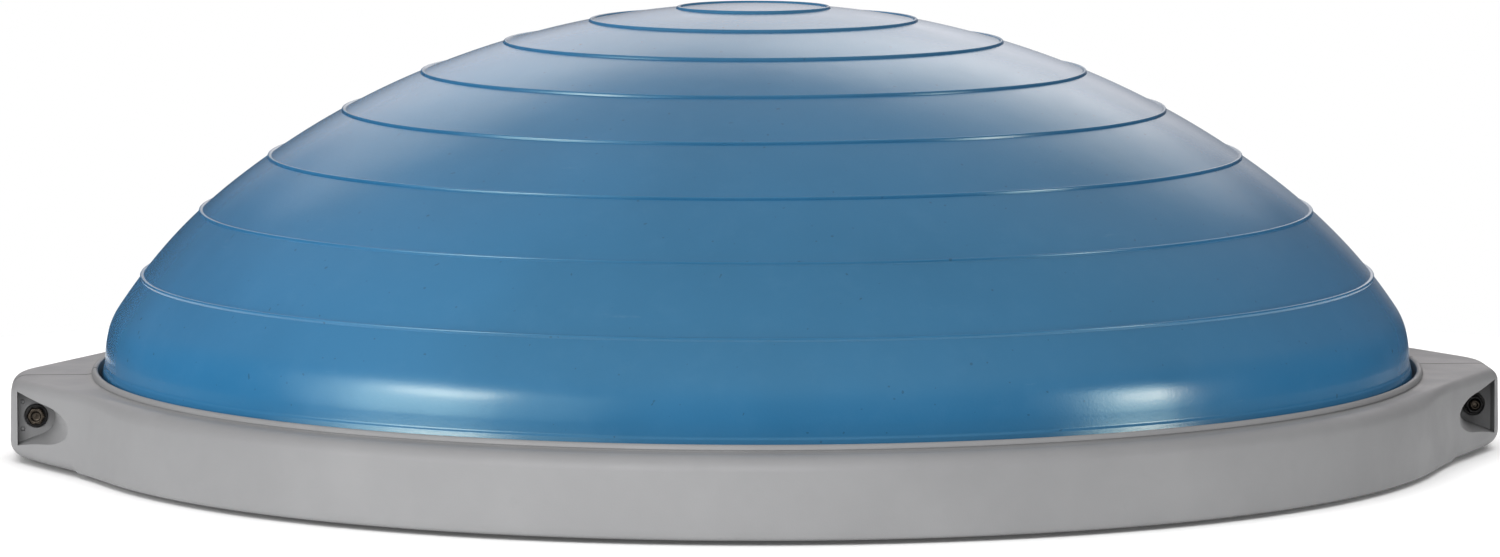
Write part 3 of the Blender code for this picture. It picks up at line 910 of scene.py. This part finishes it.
def make_feet():
    for kind, build, slot in (("foot", foot_mesh, "rubber_black"), ("foot_screw", screw_mesh, "screw_steel")):
        first = smooth(build(kind + "_first"), 32)
        for number, (x, y) in enumerate(foot_places(), 1):
            item = new_object(f"{kind}_{number}_fine", [], [])
            item.data = first.data.copy()
            spin = Matrix.Rotation(number * FOOT_TURN, 4, "Z")
            item.data.transform(Matrix.Translation((x, y, 0.0)) @ spin)
            settle(item, "platform", slot, f"{kind}_{number}")
        bpy.data.objects.remove(first, do_unlink=True)


# ---------------------------------------------------------------- air valve


def make_valve():
    """The flanged seat in the dome's wall, and the plug with its dished, rounded grip."""
    seat = [
        (0.0034, 0.0016),
        (0.0076, 0.0016),
        (0.0082, 0.0013),
        (0.0085, 0.0008),
        (0.0085, 0.0003),
        (0.0059, 0.0),
        (0.0058, -0.0074),
        (0.0053, -0.0080),
        (0.0038, -0.0080),
        (0.0033, -0.0075),
        (0.0033, 0.0013),
    ]
    grip = [(0.0, 0.0039), (0.0026, 0.0040), (0.0036, 0.0045), (0.0044, 0.0048), (0.0056, 0.0046)]
    grip += [(0.0068, 0.0039), (0.0074, 0.0032), (0.0075, 0.0026), (0.0073, 0.0020), (0.0069, 0.0019)]
    grip += [(0.0030, 0.0019), (0.0030, -0.0040), (0.0028, -0.0046), (0.0030, -0.0052), (0.0030, -0.0080)]
    grip += [(0.0018, -0.0101), (0.0, -0.0101)]
    pieces = (
        ("valve_seat", turned("valve_seat_fine", seat, 64, closed=True), "platform"),
        ("valve_plug", turned("valve_plug_fine", grip, 64), "valve_plug"),
    )
    for node, item, body in pieces:
        item.data.transform(valve_place())
        settle(smooth(item, 32), body, "valve_white", node)


# ---------------------------------------------------------------- floor, light and camera

# Brightness of the studio all round, its share at the horizon and below, and the elevation where it is whole
AMBIENT = 0.15
UNDER_HORIZON = 0.4
HORIZON_END = 14
# Glows of the studio: azimuth and elevation of the middle, angles where it starts and is full, level
GLOWS = (
    (0, 90, 78, 30, 0.50),
    (25, 25, 80, 30, 0.22),
    (-176, 22, 22, 8, 1.2),
    (164, 33, 13, 5, 0.7),
    (-160, 31, 16, 7, 1.0),
    (-169, 4, 11, 5, 0.7),
)
# The backdrop's colour, and the patch it fills
BACKDROP = (180, 24, 62, 34, 1.0)
BACKDROP_HUE = (1.06, 1.0, 1.0)
# Softboxes: azimuth and elevation, width and height, radiance, colour, what it is aimed at
WHITE = (1.0, 1.0, 1.0)
WARM = (1.0, 0.66, 0.58)
PANELS = (
    ("key_left", 59, 20, (0.84, 0.36), 14.0, WARM, "dome_lit"),
    ("key_left_tall", 63, 14, (1.40, 1.50), 3.2, WHITE, None),
    ("key_left_wide", 60, 14, (3.40, 1.50), 0.9, WHITE, None),
    ("key_right", -64, 11, (0.44, 0.40), 18.0, WARM, "dome_lit"),
    ("key_right_tall", -61, 9, (0.84, 1.20), 4.8, WHITE, None),
    ("fill_rim", 18, 22, (1.60, 1.20), 9.0, WHITE, "rim_lit"),
    ("fill_floor", 0, 90, (5.00, 5.00), 1.6, WHITE, "floor_lit"),
)
PANEL_DISTANCE = 3.0
FLOOR_RADIUS = 0.62
FLOOR_ALBEDO = 0.86
FLOOR_EMISSION = 0.05


def make_stage():
    """A pale disc. It ends near the trainer, so that the dome's lower wall has no bright floor to reflect."""
    bpy.ops.mesh.primitive_circle_add(vertices=96, radius=FLOOR_RADIUS, fill_type="NGON")
    floor = bpy.context.object
    floor.name = "floor"
    nodes = Nodes("floor_white", (FLOOR_ALBEDO,) * 3, 0.75)
    nodes.shader.inputs["Specular IOR Level"].default_value = 0.1
    nodes.shader.inputs["Emission Color"].default_value = (*WHITE, 1.0)
    nodes.shader.inputs["Emission Strength"].default_value = FLOOR_EMISSION
    floor.data.materials.append(nodes.material)
    lit_group("floor_lit").objects.link(floor)


def towards(azimuth, elevation, distance=1.0):
    """A point seen from the trainer at an azimuth, clockwise from the front as seen from above."""
    turn, rise = math.radians(azimuth), math.radians(elevation)
    level = math.cos(rise)
    return Vector((-math.sin(turn) * level, -math.cos(turn) * level, math.sin(rise))) * distance


def lit_group(name):
    """Collection of the pieces that a panel is aimed at."""
    return bpy.data.collections.get(name) or bpy.data.collections.new(name)


def panel(name, azimuth, elevation, size, radiance, colour, aim):
    """A rectangular softbox that faces the trainer, flagged off everything but its aim when it has one."""
    data = bpy.data.lights.new(name, "AREA")
    data.shape = "RECTANGLE"
    data.size, data.size_y = size
    data.energy = radiance * math.pi * size[0] * size[1]
    data.color = colour
    item = bpy.data.objects.new(name, data)
    bpy.context.scene.collection.objects.link(item)
    item.location = towards(azimuth, elevation, PANEL_DISTANCE)
    item.rotation_euler = (-item.location).to_track_quat("-Z", "Y").to_euler()
    if aim:
        item.light_linking.receiver_collection = lit_group(aim)


def glow(tree, place, azimuth, elevation, outer, inner, level):
    """A soft round patch of the studio, as the output that holds its level in each direction."""
    dot = tree.nodes.new("ShaderNodeVectorMath")
    dot.operation = "DOT_PRODUCT"
    dot.inputs[1].default_value = towards(azimuth, elevation)
    tree.links.new(place.outputs["Generated"], dot.inputs[0])
    patch = tree.nodes.new("ShaderNodeMapRange")
    patch.interpolation_type = "SMOOTHSTEP"
    patch.inputs["From Min"].default_value = math.cos(math.radians(outer))
    patch.inputs["From Max"].default_value = math.cos(math.radians(inner))
    patch.inputs["To Min"].default_value = 0.0
    patch.inputs["To Max"].default_value = level
    tree.links.new(dot.outputs["Value"], patch.inputs["Value"])
    return patch.outputs["Result"]


def make_world():
    """A dim studio with a bright backdrop behind the trainer, and white where the camera sees it."""
    world = bpy.data.worlds.new("studio")
    bpy.context.scene.world = world
    world.use_nodes = True
    tree = world.node_tree
    back = tree.nodes["Background"]
    place = tree.nodes.new("ShaderNodeTexCoord")
    total = None
    for patch in GLOWS:
        add = tree.nodes.new("ShaderNodeMath")
        add.inputs[0].default_value = AMBIENT
        if total:
            tree.links.new(total, add.inputs[0])
        tree.links.new(glow(tree, place, *patch), add.inputs[1])
        total = add.outputs["Value"]
    hue = tree.nodes.new("ShaderNodeMix")
    hue.data_type = "RGBA"
    hue.inputs["A"].default_value = (*WHITE, 1.0)
    hue.inputs["B"].default_value = (*BACKDROP_HUE, 1.0)
    tree.links.new(glow(tree, place, *BACKDROP), hue.inputs["Factor"])
    tree.links.new(hue.outputs["Result"], back.inputs["Color"])
    up = tree.nodes.new("ShaderNodeSeparateXYZ")
    tree.links.new(place.outputs["Generated"], up.inputs[0])
    horizon = tree.nodes.new("ShaderNodeMapRange")
    horizon.interpolation_type = "SMOOTHSTEP"
    horizon.inputs["From Min"].default_value = 0.0
    horizon.inputs["From Max"].default_value = math.sin(math.radians(HORIZON_END))
    horizon.inputs["To Min"].default_value = UNDER_HORIZON
    horizon.inputs["To Max"].default_value = 1.0
    tree.links.new(up.outputs["Z"], horizon.inputs["Value"])
    dimmed = tree.nodes.new("ShaderNodeMath")
    dimmed.operation = "MULTIPLY"
    tree.links.new(total, dimmed.inputs[0])
    tree.links.new(horizon.outputs["Result"], dimmed.inputs[1])
    tree.links.new(dimmed.outputs["Value"], back.inputs["Strength"])
    seen = tree.nodes.new("ShaderNodeBackground")
    seen.inputs["Strength"].default_value = 1.0
    seen.inputs["Color"].default_value = (*WHITE, 1.0)
    ray = tree.nodes.new("ShaderNodeLightPath")
    either = tree.nodes.new("ShaderNodeMixShader")
    tree.links.new(ray.outputs["Is Camera Ray"], either.inputs["Fac"])
    tree.links.new(back.outputs["Background"], either.inputs[1])
    tree.links.new(seen.outputs["Background"], either.inputs[2])
    tree.links.new(either.outputs["Shader"], tree.nodes["World Output"].inputs["Surface"])


def make_lights():
    for row in PANELS:
        panel(*row)


def make_camera():
    data = bpy.data.cameras.new("camera")
    data.lens = CAMERA_LENS
    data.sensor_width = 36.0
    data.sensor_fit = "HORIZONTAL"
    camera = bpy.data.objects.new("camera", data)
    bpy.context.scene.collection.objects.link(camera)
    camera.location = CAMERA_PLACE
    camera.rotation_euler = (math.pi / 2 - CAMERA_PITCH, 0.0, -CAMERA_YAW)
    bpy.context.scene.camera = camera


make_camera()
make_stage()
make_world()
make_lights()
bpy.context.scene.view_settings.view_transform = "Standard"
make_dome()
make_rims()
make_clamps()
make_plate()
make_feet()
make_valve()
